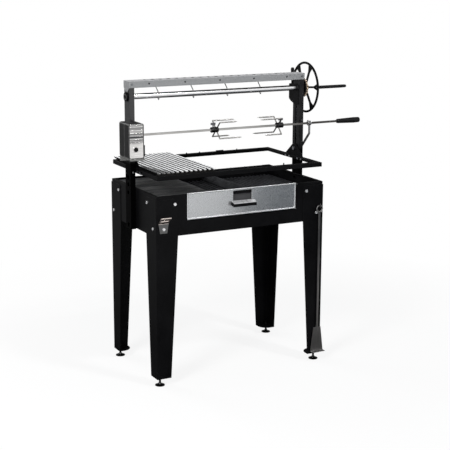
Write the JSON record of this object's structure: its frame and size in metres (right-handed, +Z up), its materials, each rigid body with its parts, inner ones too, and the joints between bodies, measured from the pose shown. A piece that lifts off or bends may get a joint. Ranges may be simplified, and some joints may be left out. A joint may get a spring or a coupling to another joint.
{
  "type": "charcoal grill with winch-raised grill frame and motor spit",
  "caption": "Free-standing charcoal grill on tapered legs, with a handwheel winch that lifts the grill frame, an ash drawer and a motor-driven spit.",
  "frame": {"origin": "bottom centre of the bounding box, on the floor", "axes": "+Z up, +X to the right seen from the ash drawer's side, -Y towards the user at the drawer"},
  "size_m": [1.236, 0.5485, 1.4025],
  "materials": {
    "black_coat": "satin black powder coat",
    "hearth_steel": "dark grey heat-proof coat",
    "raw_black_steel": "matt black heat-proof coat",
    "stainless": "brushed stainless steel",
    "zinc": "bright zinc plate",
    "yellow_zinc": "yellow zinc plate",
    "chrome": "polished chrome",
    "black_plastic": "satin black plastic",
    "motor_metal": "plain steel"
  },
  "bodies": {
    "base": {"firebox_front": "black_coat", "firebox_back": "black_coat", "firebox_side_left": "black_coat", "firebox_side_right": "black_coat", "hearth_floor": "raw_black_steel", "inner_angles": "raw_black_steel", "hearth_plates": "hearth_steel", "fire_grate": "raw_black_steel", "ember_divider": "raw_black_steel", "leg_front_left": "black_coat", "leg_front_right": "black_coat", "leg_back_left": "black_coat", "leg_back_right": "black_coat", "foot_plates": "black_coat", "leg_bolts": "zinc", "bottle_opener": "zinc", "column_left": "black_coat", "column_right": "black_coat", "column_fasteners": "zinc", "crossbar": "stainless", "wire_hooks": "stainless", "shaft_bushes": "black_coat", "bearing_plate": "black_coat", "spit_cradle": "stainless", "motor_bracket": "black_coat", "motor_case": "black_plastic", "motor_cover": "stainless", "motor_core": "motor_metal"},
    "foot_front_left": {"levelling_foot_front_left": "zinc"},
    "foot_front_right": {"levelling_foot_front_right": "zinc"},
    "foot_back_left": {"levelling_foot_back_left": "zinc"},
    "foot_back_right": {"levelling_foot_back_right": "zinc"},
    "ash_drawer": {"drawer_box": "raw_black_steel", "drawer_front": "stainless", "drawer_handle": "black_coat"},
    "winch": {"winch_shaft": "chrome", "lift_drums": "zinc", "ratchet_disc": "black_coat", "ratchet_chain": "yellow_zinc", "handwheel": "black_coat", "wheel_fasteners": "zinc"},
    "grip": {"crank_grip": "black_plastic"},
    "lever": {"lock_lever": "black_coat", "lock_knob": "black_plastic"},
    "carriage": {"grill_frame": "black_coat", "gusset_plates": "black_coat", "carriage_bolts": "zinc", "sliders": "black_plastic", "lift_chains": "zinc"},
    "grate": {"grill_grate": "stainless"},
    "spit": {"spit_rod": "stainless", "spit_handle": "black_plastic", "drive_socket": "stainless", "spit_bush": "stainless"},
    "fork_left": {"meat_fork_left": "stainless"},
    "fork_right": {"meat_fork_right": "stainless"},
    "screw_left": {"thumbscrew_left": "zinc"},
    "screw_right": {"thumbscrew_right": "zinc"},
    "switch": {"motor_rocker": "black_plastic"},
    "ash_tool": {"ash_tool": "stainless"}
  },
  "joints": [
    {"name": "foot_front_left_screw", "type": "hinge", "parent": "base", "child": "foot_front_left", "pos_m": [-0.522, -0.22125, 0], "axis": [0, 0, 1], "range_deg": [-1440, 1440]},
    {"name": "foot_front_right_screw", "type": "hinge", "parent": "base", "child": "foot_front_right", "pos_m": [0.288, -0.22125, 0], "axis": [0, 0, 1], "range_deg": [-1440, 1440]},
    {"name": "foot_back_left_screw", "type": "hinge", "parent": "base", "child": "foot_back_left", "pos_m": [-0.522, 0.24075, 0], "axis": [0, 0, 1], "range_deg": [-1440, 1440]},
    {"name": "foot_back_right_screw", "type": "hinge", "parent": "base", "child": "foot_back_right", "pos_m": [0.288, 0.24075, 0], "axis": [0, 0, 1], "range_deg": [-1440, 1440]},
    {"name": "drawer_slide", "type": "slide", "parent": "base", "child": "ash_drawer", "axis": [0, -1, 0], "range_m": [0, 0.35]},
    {"name": "carriage_lift", "type": "slide", "parent": "base", "child": "carriage", "axis": [0, 0, 1], "range_m": [-0.06, 0.05], "deforming": ["lift_chains"]},
    {"name": "winch_turn", "type": "hinge", "parent": "base", "child": "winch", "pos_m": [-0.117, 0.00975, 1.281], "axis": [1, 0, 0], "range_deg": [-175, 145]},
    {"name": "grip_spin", "type": "hinge", "parent": "winch", "child": "grip", "pos_m": [0.3619, -0.09884, 1.2905], "axis": [1, 0, 0], "continuous": true},
    {"name": "lock_lever_swing", "type": "hinge", "parent": "base", "child": "lever", "pos_m": [0.316, 0.06175, 1.225], "axis": [1, 0, 0], "range_deg": [-15, 0]},
    {"name": "grate_lift_off", "type": "slide", "parent": "carriage", "child": "grate", "axis": [0, 0, 1], "range_m": [0, 0.04]},
    {"name": "spit_spin", "type": "hinge", "parent": "base", "child": "spit", "pos_m": [-0.117, -0.06625, 1.119], "axis": [1, 0, 0], "continuous": true},
    {"name": "fork_left_slide", "type": "slide", "parent": "spit", "child": "fork_left", "axis": [1, 0, 0], "range_m": [-0.33, 0.04]},
    {"name": "fork_right_slide", "type": "slide", "parent": "spit", "child": "fork_right", "axis": [1, 0, 0], "range_m": [-0.04, 0.11]},
    {"name": "thumbscrew_left_turn", "type": "hinge", "parent": "fork_left", "child": "screw_left", "pos_m": [-0.176, -0.06625, 1.14], "axis": [0, 0, 1], "range_deg": [0, 720]},
    {"name": "thumbscrew_right_turn", "type": "hinge", "parent": "fork_right", "child": "screw_right", "pos_m": [0.179, -0.06625, 1.14], "axis": [0, 0, 1], "range_deg": [0, 720]},
    {"name": "switch_rock", "type": "hinge", "parent": "base", "child": "switch", "pos_m": [-0.586, -0.127, 1.066], "axis": [1, 0, 0], "range_deg": [-9, 9]},
    {"name": "ash_tool_swing", "type": "hinge", "parent": "base", "child": "ash_tool", "pos_m": [0.288, -0.25225, 0.752], "axis": [0, 1, 0], "range_deg": [-20, 20]}
  ],
  "couplings": [
    {"joint": "winch_turn", "follows": "carriage_lift", "rad_per_m": 48.662}
  ]
}
